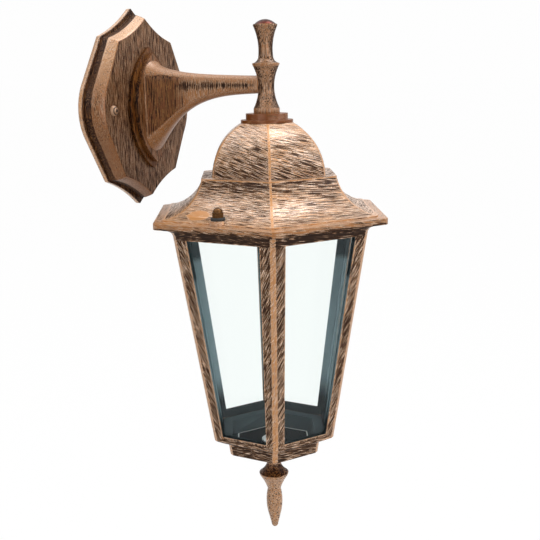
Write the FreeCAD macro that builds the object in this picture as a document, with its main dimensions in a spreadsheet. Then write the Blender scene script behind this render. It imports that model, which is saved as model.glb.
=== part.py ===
"""Hexagonal wall lantern: wall plate, arm with a baluster stem, bell roof, glazed cage and finial.

Millimetres. The origin is the middle of the wall plate's back, on the wall. +Z is up, the lantern
stands out along -Y, and X = 0 is its plane of symmetry. A corner of the hexagon points at the wall.
"""
import FreeCAD, Part
import math
import os

import Sketcher
from FreeCAD import Placement, Rotation, Vector

DRIVING = {
    # whole lantern
    "reach": 113.0,  # wall to the lantern's upright axis
    "screw_gap": 0.25,  # around a screw in a plain hole
    "thread_gap": 0.05,  # around a thread in its tapped hole
    # wall plate, seen from the front: half sizes of the rim, and how far inside it the face lies
    "rim_half_height": 70.2,
    "rim_half_width": 59.8,
    "rim_shoulder_x": 35.5,
    "rim_shoulder_z": 50.4,
    "rim_thickness": 4.0,
    "rim_land": 5.0,  # width of the rim that lies on the wall
    "face_inset_height": 7.5,
    "face_inset_width": 9.2,
    "face_inset_shoulder_x": 4.3,
    "face_inset_shoulder_z": 4.0,
    "arch_sag": 2.0,  # bow of the hollow edges beside the end points
    "plate_depth": 16.0,
    "plate_wall": 2.6,
    "cove_height": 5.0,  # cove between the rim and the bevel
    "side_bow": 6.0,  # bow of the rounded side points
    "side_bow_z": 20.0,
    "cable_hole_radius": 7.0,
    "screw_end": 0.4,  # screw tips stop this far short of the wall
    # mounting strap and what it carries
    "strap_end_gap": 3.8,  # strap's ends inside the plate's rim
    "strap_half_width": 9.0,
    "strap_thickness": 2.2,
    "wall_hole_inset": 11.8,  # wall holes inside the plate's screws
    "wall_hole_radius": 2.6,
    "plate_screw_inset": 8.8,  # plate's screws inside its face's points
    "plate_screw_radius": 2.0,
    "plate_screw_head_radius": 3.7,
    "plate_screw_head_height": 3.2,
    "earth_screw_x": 16.0,
    "earth_screw_radius": 2.0,
    "earth_head_radius": 3.6,
    "earth_head_height": 2.6,
    "terminal_x": 18.0,
    "terminal_width": 12.0,
    "terminal_pitch": 8.0,
    "terminal_height": 9.6,
    "terminal_bore_radius": 1.7,
    "terminal_bore_height": 3.84,  # wire bores above the strap
    "terminal_screw_radius": 1.4,
    "terminal_screw_set": 0.96,  # screws below the block's front
    # arm
    "plinth_half_height": 43.0,
    "plinth_half_width": 25.0,
    "plinth_thickness": 2.5,
    "foot_half_height": 38.5,
    "foot_half_width": 20.5,
    "foot_thickness": 3.0,
    "horn_top": 33.5,
    "horn_bottom": -30.5,
    "horn_half_width": 12.5,
    "flare_top": 21.3,  # run over which the horn's edges die away
    "flare_bottom": 24.7,
    "flare_side": 15.0,
    "core_top": 15.4,  # hollow behind the horn
    "core_bottom": -11.2,
    "core_half_width": 8.4,
    "core_length": 40.7,
    "arm_level": 16.0,
    "arm_radius": 4.1,
    "arm_bore_radius": 2.6,
    "arm_bolt_top": 24.0,
    "arm_bolt_bottom": -20.0,
    "arm_bolt_radius": 2.5,
    "arm_bolt_depth": 8.0,
    "arm_bolt_head_radius": 4.2,
    "arm_bolt_head_height": 3.0,
    # baluster stem
    "stem_base_radius": 8.9,
    "stem_base_height": 3.2,
    "waist_radius": 5.4,
    "waist_height": 13.6,
    "ring_radius": 9.2,
    "ring_under_height": 15.4,  # waist up to the ring
    "ring_height": 0.9,
    "ring_shoulder_radius": 6.4,
    "ring_shoulder_height": 1.3,
    "stem_collar_radius": 5.1,
    "stem_collar_height": 2.2,
    "cup_waist_radius": 5.0,
    "cup_waist_height": 9.7,
    "cup_radius": 8.2,
    "cup_height": 12.1,
    "cup_lip_height": 0.8,
    "cup_lip_draw": 0.3,
    "plug_radius": 7.2,
    "plug_seat": 1.0,
    "plug_spigot_radius": 3.5,
    "plug_depth": 8.0,
    "plug_rise": 3.2,
    # roof: levels count down from the stem's underside, widths are across-flats halves
    "roof_top": -3.2,
    "collar_radius": 14.3,
    "collar_height": 4.2,
    "flange_radius": 17.8,
    "flange_height": 2.1,
    "dome_height": 34.4,
    "dome_top_half": 17.2,
    "dome_foot_half": 37.7,
    "ledge_width": 7.2,
    "ledge_height": 1.2,
    "skirt_height": 23.6,
    "skirt_spread": 24.5,  # edge of the ledge to the foot of the skirt
    "bead_height": 0.9,
    "eave_width": 6.8,
    "eave_fall": 0.5,
    "fascia_height": 4.1,
    "roof_wall": 2.6,
    "ledge_ceiling": 1.6,  # metal under the ledge
    "skirt_foot_wall": 3.1,
    "skirt_foot_ceiling": 2.0,
    "rim_ceiling": 1.9,  # thickness of the eave's flat rim
    "ridge_cut": 0.7,  # how far the corners are flattened back
    # hanger and lamp holder
    "nipple_radius": 5.0,
    "nipple_bore_radius": 3.2,
    "nipple_grip": 7.5,  # thread in the stem
    "nipple_drop": 8.6,  # thread in the lamp holder
    "nipple_washer_radius": 9.0,
    "nipple_washer_height": 1.6,
    "nipple_nut_flats": 15.0,
    "nipple_nut_height": 4.5,
    "holder_radius": 19.5,
    "holder_wall": 2.2,
    "holder_neck_radius": 8.6,
    "holder_cap_height": 21.5,
    "holder_neck_height": 6.0,
    "holder_side_height": 6.0,
    "holder_body_height": 32.0,
    "holder_spigot_height": 4.0,
    "holder_seam": 0.2,
    "shell_radius": 13.4,  # inside of the screw shell
    "shell_wall": 0.6,
    "shell_length": 22.0,
    "shell_recess": 2.0,  # shell's mouth inside the holder's
    "shell_shoulder": 2.5,  # step of the well that the shell bears on
    "contact_room": 4.6,  # height of the contact's room above the shell
    "contact_half_length": 8.0,
    "contact_drop": 3.5,
    "contact_strip": 0.6,
    "contact_width": 6.0,
    # nuts, washers and studs that hold the cage
    "stud_inset": 8.8,  # studs inside the eave
    "stud_radius": 2.0,
    "stud_root": 3.2,
    "boss_radius": 5.5,
    "boss_rise": 3.0,
    "seal_radius": 4.7,
    "seal_height": 2.0,
    "nut_flats": 7.0,
    "nut_height": 3.3,
    "nut_cap_radius": 3.1,
    "nut_cap_height": 2.8,
    "nut_thread": 4.3,
    "stud_end_gap": 0.5,  # studs' ends under the caps
    # cage
    "cage_flange_gap": 1.3,  # flange inside the fascia
    "cage_flange_width": 5.9,
    "cage_flange_height": 2.2,
    "frieze_drop": 4.8,
    "frieze_draw": 2.4,
    "shoulder_drop": 8.6,
    "cage_taper": 22.26,  # shoulder to the posts' feet
    "foot_drop": 156.6,
    "post_end_draw": 5.24,
    "post_end_drop": 3.1,
    "base_step_width": 4.1,
    "base_draw": 1.4,
    "base_step": 0.9,
    "base_height": 9.6,
    "post_cut": 0.85,  # how far the post corners are flattened back
    "post_proud": 0.6,  # posts in front of the bottom rail
    "pane_cover": 1.6,  # metal in front of the glass
    "pane_thickness": 2.0,
    "pane_gap": 0.15,
    "pane_lip": 0.9,  # metal behind the glass
    "groove_depth": 2.6,
    "post_top_width": 9.5,  # one side of a post, at the window's head and foot
    "post_foot_width": 7.06,
    "window_head": 1.7,
    "rail_height": 4.1,
    # floor dish, which hangs by its rim on a lip at the foot of the cage
    "lip_height": 2.4,
    "lip_land": 0.8,
    "dish_gap": 0.3,
    "dish_rim_height": 1.0,
    "base_wall": 1.8,
    "floor_thickness": 2.3,
    "moat_width": 3.7,  # gutter round the raised middle of the floor
    "pad_height": 1.2,
    # finial
    "finial_collar_radius": 13.0,
    "finial_collar_height": 2.4,
    "finial_throat_radius": 6.2,
    "finial_throat_drop": 7.5,
    "finial_neck_radius": 5.0,
    "finial_neck_drop": 14.5,
    "finial_ring_radius": 10.7,
    "finial_ring_drop": 21.8,
    "finial_ring_height": 1.6,
    "finial_ring_draw": 0.4,
    "finial_waist_radius": 4.8,
    "finial_waist_drop": 34.3,
    "finial_bud_radius": 5.9,
    "finial_bud_drop": 44.4,
    "finial_point_radius": 5.0,
    "finial_point_drop": 52.4,
    "finial_tip_drop": 65.3,
    "finial_tip_radius": 2.4,
    "finial_stud_radius": 3.0,
    "finial_stud_root": 16.0,
    "finial_washer_radius": 8.0,
    "finial_washer_height": 1.6,
    "finial_nut_flats": 10.0,
    "finial_nut_height": 5.0,
    "finial_stud_end": 2.0,  # thread that shows above the nut
}

FACES = 6
FACE_TURN = 360.0 / FACES
TO_CORNER = 1.0 / math.cos(math.radians(FACE_TURN / 2))  # half across flats to corner radius
FACE_SHARE = math.tan(math.radians(FACE_TURN / 2))  # half across flats to half a face's width
OVERCUT = 2.0  # how far a cutting profile runs past the metal

doc = FreeCAD.newDocument("garden_lantern")
sheet = doc.addObject("Spreadsheet::Sheet", "Sizes")
for row, (alias, number) in enumerate(DRIVING.items(), 1):
    sheet.set(f"A{row}", alias)
    sheet.set(f"B{row}", str(number))
    sheet.setAlias(f"B{row}", alias)
doc.recompute()


class Length:
    """A size of the sheet, or sizes added up: its value now and the formula that binds it."""

    def __init__(self, value, formula):
        self.value = value
        self.formula = formula

    def __add__(self, other):
        other = length(other)
        return Length(self.value + other.value, f"({self.formula} + {other.formula})")

    def __sub__(self, other):
        other = length(other)
        return Length(self.value - other.value, f"({self.formula} - {other.formula})")

    def __mul__(self, factor):
        return Length(self.value * factor, f"({self.formula} * {factor:.9f})")

    def __neg__(self):
        return Length(-self.value, f"(-{self.formula})")


def length(size):
    return size if isinstance(size, Length) else Length(float(size), f"({size:.9f})")


class Sheet:
    """Every size of the sheet by its alias."""

    def __getattr__(self, alias):
        return Length(float(sheet.get(alias)), f"Sizes.{alias}")


dim = Sheet()
ZERO = length(0)

# Sizes that follow from others

cove_depth = dim.rim_thickness + dim.cove_height
strap_half_length = dim.rim_half_width - dim.rim_land - dim.strap_end_gap
plate_screw_x = dim.rim_half_width - dim.face_inset_width - dim.plate_screw_inset
wall_hole_x = plate_screw_x - dim.wall_hole_inset
stem_base_level = dim.roof_top + dim.stem_base_height
waist_level = stem_base_level + dim.waist_height
ring_level = waist_level + dim.ring_under_height
ring_top = ring_level + dim.ring_height
ring_shoulder_level = ring_top + dim.ring_shoulder_height
stem_collar_level = ring_shoulder_level + dim.stem_collar_height
cup_waist_level = stem_collar_level + dim.cup_waist_height
cup_top = cup_waist_level + dim.cup_height
ledge_half = dim.dome_foot_half + dim.ledge_width
skirt_foot_half = ledge_half + dim.skirt_spread
eave_half = skirt_foot_half + dim.eave_width
stud_half_span = eave_half - dim.stud_inset
cage_flange_half = eave_half - dim.roof_wall - dim.cage_flange_gap
frieze_half = cage_flange_half - dim.cage_flange_width
shoulder_half = frieze_half - dim.frieze_draw
foot_half = shoulder_half - dim.cage_taper
window_top_drop = dim.shoulder_drop + dim.window_head
window_foot_drop = dim.foot_drop - dim.rail_height
post_end_half = foot_half - dim.post_end_draw
base_half = post_end_half - dim.base_step_width
base_foot_half = base_half - dim.base_draw
well_half = base_foot_half - dim.base_wall
pad_half = well_half - dim.moat_width
dish_mouth_half = base_half + dim.dish_gap
post_end = dim.foot_drop + dim.post_end_drop
base_top = post_end + dim.base_step
base_foot = base_top + dim.base_height
lip_top = base_top - dim.lip_height


def between(start, end, share):
    """The size a given share of the way from start to end."""
    return start + (end - start) * share


def bind(item, prop, size):
    item.setExpression(prop, length(size).formula)


# Sketches


def new_body(label, on_axis=True, turn=0.0):
    """An empty body, on the lantern's upright axis or on the wall's own origin."""
    body = doc.addObject("PartDesign::Body", label)
    body.Label = label
    body.AllowCompound = True
    body.Placement = Placement(Vector(), Rotation(Vector(0, 0, 1), turn))
    if on_axis:
        bind(body, "Placement.Base.y", -dim.reach)
    return body


def origin_feature(body, role):
    return next(f for f in body.Origin.OriginFeatures if f.Role == role)


def sketch_on(body, role, lift=ZERO, shift=ZERO, rise=ZERO):
    """A sketch on one of the body's origin planes, moved by shift and rise in it and lift off it."""
    sketch = body.newObject("Sketcher::SketchObject", body.Label + "_sketch")
    sketch.AttachmentSupport = (origin_feature(body, role), [""])
    sketch.MapMode = "FlatFace"
    bind(sketch, "AttachmentOffset.Base.x", shift)
    bind(sketch, "AttachmentOffset.Base.y", rise)
    bind(sketch, "AttachmentOffset.Base.z", lift)
    return sketch


def pin(sketch, shape, end, x, y):
    """Fix one point of a sketch's line, arc or circle at bound coordinates."""
    for kind, size in (("DistanceX", length(x)), ("DistanceY", length(y))):
        index = sketch.addConstraint(Sketcher.Constraint(kind, -1, 1, shape, end, size.value))
        sketch.setExpression(f"Constraints[{index}]", size.formula)


def point(x, y):
    return Vector(length(x).value, length(y).value, 0)


def trace(sketch, corners):
    """A closed outline. A corner (x, y) is reached by a line, and (x, y, (px, py)) by an arc through p."""
    edges = []
    for before, corner in zip(corners[-1:] + corners[:-1], corners):
        start, end = point(*before[:2]), point(*corner[:2])
        if len(corner) == 2:
            edges.append((sketch.addGeometry(Part.LineSegment(start, end)), 1, 2))
            continue
        middle = point(*corner[2])
        arc = sketch.addGeometry(Part.Arc(start, middle, end))
        turns_left = (middle - start).cross(end - middle).z > 0
        edges.append((arc, 1, 2) if turns_left else (arc, 2, 1))
    for corner, edge, after in zip(corners, edges, edges[1:] + edges[:1]):
        sketch.addConstraint(Sketcher.Constraint("Coincident", edge[0], edge[2], after[0], after[1]))
        pin(sketch, edge[0], edge[2], *corner[:2])
        if len(corner) == 3:
            guide = sketch.addGeometry(Part.Point(point(*corner[2])), True)
            pin(sketch, guide, 1, *corner[2])
            sketch.addConstraint(Sketcher.Constraint("PointOnObject", guide, 1, edge[0]))
    return sketch


def rings(sketch, circles):
    """Circles (x, y, radius)."""
    for x, y, radius in circles:
        radius = length(radius)
        ring = sketch.addGeometry(Part.Circle(point(x, y), Vector(0, 0, 1), radius.value))
        pin(sketch, ring, 3, x, y)
        index = sketch.addConstraint(Sketcher.Constraint("Radius", ring, radius.value))
        sketch.setExpression(f"Constraints[{index}]", radius.formula)
    return sketch


def cap_middle(radius, rise):
    """The middle of a round cap's arc, as the distance from its axis and the rise above its rim."""
    sphere = (radius.value**2 + rise.value**2) / (2 * rise.value)
    half_angle = math.atan2(radius.value, sphere - rise.value) / 2
    drop = sphere * (1 - math.cos(half_angle))
    return radius * (sphere * math.sin(half_angle) / radius.value), rise * (1 - drop / rise.value)


def hexagon(half_flats):
    """Corners of a hexagon with flats across X and corners across Y."""
    radius = half_flats * TO_CORNER
    angles = [math.radians(90 + FACE_TURN * k) for k in range(FACES)]
    return [(radius * math.cos(a), radius * math.sin(a)) for a in angles]


# Features


def add(body, kind, sketch, **settings):
    feature = body.newObject("PartDesign::" + kind, body.Label + "_" + kind.lower())
    feature.Profile = sketch
    for prop, setting in settings.items():
        if isinstance(setting, Length):
            bind(feature, prop, setting)
        else:
            setattr(feature, prop, setting)
    body.Tip = feature
    return feature


def pad(body, sketch, height, **settings):
    return add(body, "Pad", sketch, Length=length(height), **settings)


def pocket(body, sketch, depth, **settings):
    return add(body, "Pocket", sketch, Length=length(depth), **settings)


def revolve(body, sketch):
    return add(body, "Revolution", sketch, ReferenceAxis=(sketch, ["V_Axis"]), Angle=360.0)


def loft(body, kind, sketches, ruled=False):
    return add(body, kind, sketches[0], Sections=sketches[1:], Ruled=ruled)


def round_the_axis(body, feature, count=FACES):
    """Repeat a feature about the body's upright axis."""
    pattern = body.newObject("PartDesign::PolarPattern", body.Label + "_pattern")
    pattern.Originals = [feature]
    pattern.Axis = (origin_feature(body, "Z_Axis"), [""])
    pattern.Angle = 360.0
    pattern.Occurrences = count
    body.Tip = pattern
    return pattern


def turned(label, outline, on_axis=True):
    """A body of revolution about the lantern's axis from an outline of (radius, level)."""
    body = new_body(label, on_axis)
    revolve(body, trace(sketch_on(body, "XZ_Plane"), outline))
    return body


def cylinders(label, circles, bottom, height):
    """Upright cylinders on one level, as one body."""
    body = new_body(label)
    pad(body, rings(sketch_on(body, "XY_Plane", bottom), circles), height)
    return body


def boolean(kind, label, **links):
    result = doc.addObject("Part::" + kind, label)
    result.Label = label
    for prop, link in links.items():
        setattr(result, prop, link)
    return result


def moulded_hexagon(label, profile, turn=0.0):
    """A hexagon whose six faces follow one profile of (half across flats, level), from the top down."""
    body = new_body(label, turn=turn)
    top, bottom = profile[0], profile[-1]
    widest = max((corner[0] for corner in profile), key=lambda size: size.value)
    outside = widest * TO_CORNER + OVERCUT
    prism = sketch_on(body, "XY_Plane", bottom[1])
    pad(body, trace(prism, hexagon(widest)), top[1] - bottom[1])
    waste = profile + [
        (bottom[0], bottom[1] - OVERCUT),
        (outside, bottom[1] - OVERCUT),
        (outside, top[1] + OVERCUT),
        (top[0], top[1] + OVERCUT),
    ]
    cut = pocket(body, trace(sketch_on(body, "XZ_Plane"), waste), outside * 2.0, SideType="Symmetric")
    round_the_axis(body, cut)
    return body


def corner_limit(label, profile, cut):
    """A second hexagon with its faces across the first one's corners, less a cut, to flatten them."""

    def outward(corner):
        moved = (corner[0] * TO_CORNER - cut, corner[1])
        return moved + (outward(corner[2]),) if len(corner) == 3 else moved

    return moulded_hexagon(label, [outward(corner) for corner in profile], turn=FACE_TURN / 2)


def hexagonal_nut(label, flats, bottom, height, bore):
    """A plain nut on the lantern's axis."""
    body = new_body(label)
    sketch = sketch_on(body, "XY_Plane", bottom)
    pad(body, rings(trace(sketch, hexagon(flats * 0.5)), [(ZERO, ZERO, bore)]), height)
    return body


# Wall plate and its fixings

POINT_INSET = 1.15  # how far the end points move for each millimetre of wall
SHOULDER_INSET = 0.74
ARCH_WAY = (0.49, 0.87)  # way in which the hollow edges bow
POINT_BEND = 0.45  # below one the end points draw in sooner than the sides
COVE_FOOT = 0.30  # share of the way from the rim's outline to the face's
COVE_TOP = 0.36
BEVEL_MIDDLE = 0.62
BEVEL_MIDDLE_DEPTH = 0.55


def plate_outline(share, wall=ZERO):
    """Outline a share of the way from the rim to the face, moved in by a wall."""
    height = dim.rim_half_height - dim.face_inset_height * share**POINT_BEND - wall * POINT_INSET
    width = dim.rim_half_width - dim.face_inset_width * share - wall
    shoulder_x = dim.rim_shoulder_x - dim.face_inset_shoulder_x * share - wall * SHOULDER_INSET
    shoulder_z = dim.rim_shoulder_z - dim.face_inset_shoulder_z * share - wall * SHOULDER_INSET
    straight_x = width - dim.side_bow
    arch_x = shoulder_x * 0.5 - dim.arch_sag * ARCH_WAY[0]
    arch_z = (height + shoulder_z) * 0.5 - dim.arch_sag * ARCH_WAY[1]
    corners = []
    for side in (1.0, -1.0):
        corners += [
            (shoulder_x * side, shoulder_z * side, (arch_x * side, arch_z * side)),
            (straight_x * side, dim.side_bow_z * side),
            (straight_x * side, dim.side_bow_z * -side, (width * side, ZERO)),
            (shoulder_x * side, shoulder_z * -side),
            (ZERO, height * -side, (arch_x * side, arch_z * -side)),
        ]
    return corners


def wall_plate():
    """Cast plate: rim, cove, bevel and raised face, hollow behind."""
    body = new_body("wall_plate", on_axis=False)

    def section(depth, share, wall=ZERO):
        return trace(sketch_on(body, "XZ_Plane", depth), plate_outline(share, wall))

    pad(body, section(ZERO, 0.0), dim.rim_thickness)
    cove = [section(dim.rim_thickness, COVE_FOOT), section(cove_depth, COVE_TOP)]
    loft(body, "AdditiveLoft", cove, ruled=True)
    bevel_middle = between(cove_depth, dim.plate_depth, BEVEL_MIDDLE_DEPTH)
    bevel = [
        section(cove_depth, COVE_TOP),
        section(bevel_middle, BEVEL_MIDDLE),
        section(dim.plate_depth, 1.0),
    ]
    loft(body, "AdditiveLoft", bevel, ruled=True)
    hollow = [section(ZERO, 0.0, dim.rim_land), section(plate_floor(), 1.0, dim.plate_wall)]
    loft(body, "SubtractiveLoft", hollow, ruled=True)
    screw_hole = dim.plate_screw_radius + dim.screw_gap
    bolt_hole = dim.arm_bolt_radius + dim.screw_gap
    holes = [
        (plate_screw_x, ZERO, screw_hole),
        (-plate_screw_x, ZERO, screw_hole),
        (ZERO, dim.arm_bolt_top, bolt_hole),
        (ZERO, dim.arm_bolt_bottom, bolt_hole),
        (ZERO, ZERO, dim.cable_hole_radius),
    ]
    pocket(body, rings(sketch_on(body, "XZ_Plane", dim.plate_depth), holes), dim.plate_depth)
    return body


def plate_floor():
    """Depth of the plate's hollow."""
    return dim.plate_depth - dim.plate_wall


def mounting_strap():
    """Flat steel strap with round ends, screwed to the wall."""
    body = new_body("mounting_strap", on_axis=False)
    end = strap_half_length - dim.strap_half_width
    wide = dim.strap_half_width
    outline = [
        (end, wide),
        (-end, wide),
        (-end, -wide, (-strap_half_length, ZERO)),
        (end, -wide),
    ]
    outline[0] += ((strap_half_length, ZERO),)
    holes = [
        (wall_hole_x, ZERO, dim.wall_hole_radius),
        (-wall_hole_x, ZERO, dim.wall_hole_radius),
        (plate_screw_x, ZERO, dim.plate_screw_radius + dim.thread_gap),
        (-plate_screw_x, ZERO, dim.plate_screw_radius + dim.thread_gap),
        (-dim.earth_screw_x, ZERO, dim.earth_screw_radius + dim.thread_gap),
        (ZERO, ZERO, dim.cable_hole_radius),
    ]
    pad(body, rings(trace(sketch_on(body, "XZ_Plane"), outline), holes), dim.strap_thickness)
    return body


def round_head_screws(label, places, seat, tip, radius, head_radius, head_height):
    """Screws along Y with domed heads: seat and tip are depths from the wall."""
    body = new_body(label, on_axis=False)
    shanks = rings(sketch_on(body, "XZ_Plane", tip), [(x, z, radius) for x, z in places])
    pad(body, shanks, seat - tip)
    crown_radius, crown_rise = cap_middle(head_radius, head_height)
    for x, z in places:
        dome = sketch_on(body, "YZ_Plane", x, -seat, z)
        crown = (-crown_rise, crown_radius)
        trace(dome, [(ZERO, ZERO), (ZERO, head_radius), (-head_height, ZERO, crown)])
        add(body, "Revolution", dome, ReferenceAxis=(dome, ["H_Axis"]), Angle=360.0)
    return body


def plate_screws():
    places = [(plate_screw_x, ZERO), (-plate_screw_x, ZERO)]
    return round_head_screws(
        "plate_screws", places, dim.plate_depth, dim.screw_end, dim.plate_screw_radius,
        dim.plate_screw_head_radius, dim.plate_screw_head_height,
    )


def earth_screw():
    return round_head_screws(
        "earth_screw", [(-dim.earth_screw_x, ZERO)], dim.strap_thickness, dim.screw_end,
        dim.earth_screw_radius, dim.earth_head_radius, dim.earth_head_height,
    )


TERMINAL_POLES = (-1.0, 0.0, 1.0)
TERMINAL_SCREW_OFFSET = 0.25  # share of the block's width from its middle to each row of screws


def terminal_block():
    """Three-pole block on the strap: wire bores across it and screw wells from the front."""
    body = new_body("terminal_block", on_axis=False)
    half_width = dim.terminal_width * 0.5
    half_length = dim.terminal_pitch * (len(TERMINAL_POLES) * 0.5)
    left, right = dim.terminal_x - half_width, dim.terminal_x + half_width
    outline = [(left, -half_length), (right, -half_length), (right, half_length), (left, half_length)]
    base = trace(sketch_on(body, "XZ_Plane", dim.strap_thickness), outline)
    pad(body, base, dim.terminal_height)
    bore_depth = dim.strap_thickness + dim.terminal_bore_height
    bores = [(-bore_depth, dim.terminal_pitch * k, dim.terminal_bore_radius) for k in TERMINAL_POLES]
    bore_sketch = rings(sketch_on(body, "YZ_Plane", right + OVERCUT), bores)
    pocket(body, bore_sketch, dim.terminal_width + OVERCUT * 2)
    front = dim.strap_thickness + dim.terminal_height
    well_radius = dim.terminal_screw_radius + dim.thread_gap
    wells = [(x, z, well_radius) for x, z in terminal_screw_places()]
    pocket(body, rings(sketch_on(body, "XZ_Plane", front), wells), front - bore_depth)
    return body


def terminal_screw_places():
    return [
        (dim.terminal_x + dim.terminal_width * (TERMINAL_SCREW_OFFSET * side), dim.terminal_pitch * k)
        for side in (-1.0, 1.0)
        for k in TERMINAL_POLES
    ]


def terminal_screws():
    """Six grub screws down the block's wells, their tips on the wire bores' crowns."""
    body = new_body("terminal_screws", on_axis=False)
    tip = dim.strap_thickness + dim.terminal_bore_height + dim.terminal_bore_radius
    end = dim.strap_thickness + dim.terminal_height - dim.terminal_screw_set
    circles = [(x, z, dim.terminal_screw_radius) for x, z in terminal_screw_places()]
    sketch = rings(sketch_on(body, "XZ_Plane", tip), circles)
    pad(body, sketch, end - tip)
    return body


# Arm

HORN_STATIONS = (0.0, 0.066, 0.153, 0.284, 0.459, 0.678, 1.0)  # shares of the run from the foot to the stem
FLARE_TOP_BEND = 0.79  # below one the flare dies away slowly, above one it dies away sooner
FLARE_BOTTOM_BEND = 1.17
HORN_LEAST_FLAT = 0.3  # share of the arm's radius that stays flat on its sides


def lens(top, bottom, half_width):
    """Two arcs that meet in a point above and below."""
    middle = (top + bottom) * 0.5
    return [(ZERO, bottom, (half_width, middle)), (ZERO, top, (-half_width, middle))]


def rounded_bar(top, bottom, half_width):
    """Flat upright sides with a half round above and below."""
    high, low = top - half_width, bottom + half_width
    return [
        (half_width, high),
        (-half_width, high, (ZERO, top)),
        (-half_width, low),
        (half_width, low, (ZERO, bottom)),
    ]


def horn_root():
    """Depth at which the horn leaves its foot."""
    return dim.plate_depth + dim.plinth_thickness + dim.foot_thickness


def horn_section(run):
    """The horn's section at a run out from its foot: its flare dies away into the arm."""

    def fade(flare, bend=1.0):
        return math.exp(-((run.value / flare.value) ** bend))

    arm_half = dim.arm_radius * (1 + HORN_LEAST_FLAT)
    arm_top = dim.arm_level + arm_half
    arm_bottom = dim.arm_level - arm_half
    top = arm_top + (dim.horn_top - arm_top) * fade(dim.flare_top, FLARE_TOP_BEND)
    bottom = arm_bottom + (dim.horn_bottom - arm_bottom) * fade(dim.flare_bottom, FLARE_BOTTOM_BEND)
    side = dim.arm_radius + (dim.horn_half_width - dim.arm_radius) * fade(dim.flare_side)
    return rounded_bar(top, bottom, side)


def arm_bracket():
    """One casting: pointed plinth and foot, flared horn, and the baluster stem it carries."""
    body = new_body("arm_bracket", on_axis=False)

    def section(depth, corners):
        return trace(sketch_on(body, "XZ_Plane", depth), corners)

    plinth = lens(dim.plinth_half_height, -dim.plinth_half_height, dim.plinth_half_width)
    pad(body, section(dim.plate_depth, plinth), dim.plinth_thickness)
    foot = lens(dim.foot_half_height, -dim.foot_half_height, dim.foot_half_width)
    pad(body, section(dim.plate_depth + dim.plinth_thickness, foot), dim.foot_thickness)
    runs = [(dim.reach - horn_root()) * share for share in HORN_STATIONS]
    stations = [section(horn_root() + run, horn_section(run)) for run in runs]
    loft(body, "AdditiveLoft", stations)
    revolve(body, trace(sketch_on(body, "YZ_Plane", ZERO, -dim.reach), stem_outline()))
    core_end = dim.plate_depth + dim.core_length
    bore_bottom = dim.arm_level - dim.arm_bore_radius
    bore_top = dim.arm_level + dim.arm_bore_radius
    core = [
        section(dim.plate_depth, lens(dim.core_top, dim.core_bottom, dim.core_half_width)),
        section(core_end, lens(bore_top, bore_bottom, dim.arm_bore_radius)),
    ]
    loft(body, "SubtractiveLoft", core, ruled=True)
    bore = rings(sketch_on(body, "XZ_Plane", dim.reach), [(ZERO, dim.arm_level, dim.arm_bore_radius)])
    pocket(body, bore, dim.reach - core_end)
    bolts = [(ZERO, z, dim.arm_bolt_radius + dim.thread_gap)
             for z in (dim.arm_bolt_top, dim.arm_bolt_bottom)]
    bolt_end = dim.plate_depth + dim.arm_bolt_depth + dim.thread_gap
    pocket(body, rings(sketch_on(body, "XZ_Plane", bolt_end), bolts), dim.arm_bolt_depth + OVERCUT)
    return body


def stem_outline():
    """Half section of the stem: bored below for the hanger, cupped on top for the plug."""
    plug_seat = dim.plug_radius + dim.thread_gap
    plug_hole = dim.plug_spigot_radius + dim.thread_gap
    nipple_hole = dim.nipple_radius + dim.thread_gap
    nipple_top = dim.roof_top + dim.nipple_grip
    return [
        (nipple_hole, dim.roof_top),
        (dim.stem_base_radius, dim.roof_top),
        (dim.stem_base_radius, stem_base_level),
        (dim.ring_radius, ring_level, (dim.waist_radius, waist_level)),
        (dim.ring_radius, ring_top),
        (dim.stem_collar_radius, stem_collar_level, (dim.ring_shoulder_radius, ring_shoulder_level)),
        (dim.cup_radius, cup_top - dim.cup_lip_height, (dim.cup_waist_radius, cup_waist_level)),
        (dim.cup_radius - dim.cup_lip_draw, cup_top),
        (plug_seat, cup_top),
        (plug_seat, cup_top - dim.plug_seat),
        (plug_hole, cup_top - dim.plug_seat),
        (plug_hole, cup_top - dim.plug_depth),
        (ZERO, cup_top - dim.plug_depth),
        (ZERO, dim.arm_level + dim.arm_bore_radius),
        (dim.arm_bore_radius, dim.arm_level + dim.arm_bore_radius),
        (dim.arm_bore_radius, nipple_top),
        (nipple_hole, nipple_top),
    ]


def arm_bolts():
    """Two bolts from inside the plate into the foot of the horn."""
    body = new_body("arm_bolts", on_axis=False)
    places = (dim.arm_bolt_top, dim.arm_bolt_bottom)
    shanks = [(ZERO, z, dim.arm_bolt_radius) for z in places]
    heads = [(ZERO, z, dim.arm_bolt_head_radius) for z in places]
    start = plate_floor() - dim.arm_bolt_head_height
    pad(body, rings(sketch_on(body, "XZ_Plane", start), heads), dim.arm_bolt_head_height)
    shank_sketch = rings(sketch_on(body, "XZ_Plane", plate_floor()), shanks)
    pad(body, shank_sketch, dim.plate_wall + dim.arm_bolt_depth)
    return body


def stem_plug():
    """Domed plug with a spigot, let into the cup."""
    crown_radius, crown_rise = cap_middle(dim.plug_radius, dim.plug_rise)
    return turned("stem_plug", [
        (ZERO, cup_top - dim.plug_depth),
        (dim.plug_spigot_radius, cup_top - dim.plug_depth),
        (dim.plug_spigot_radius, cup_top - dim.plug_seat),
        (dim.plug_radius, cup_top - dim.plug_seat),
        (dim.plug_radius, cup_top),
        (ZERO, cup_top + dim.plug_rise, (crown_radius, cup_top + crown_rise)),
    ])


# Roof

DOME_BULGE = (0.688, 0.38)  # shares of the dome's spread and drop at its bulge
SKIRT_HOLLOW = (0.286, 0.576)  # and of the skirt's at its hollow
DOME_NORMAL = (0.8, 0.6)  # way across the wall, out and up, at the dome's bulge
SKIRT_NORMAL = (0.75, 0.75)  # and at the skirt's hollow


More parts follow.
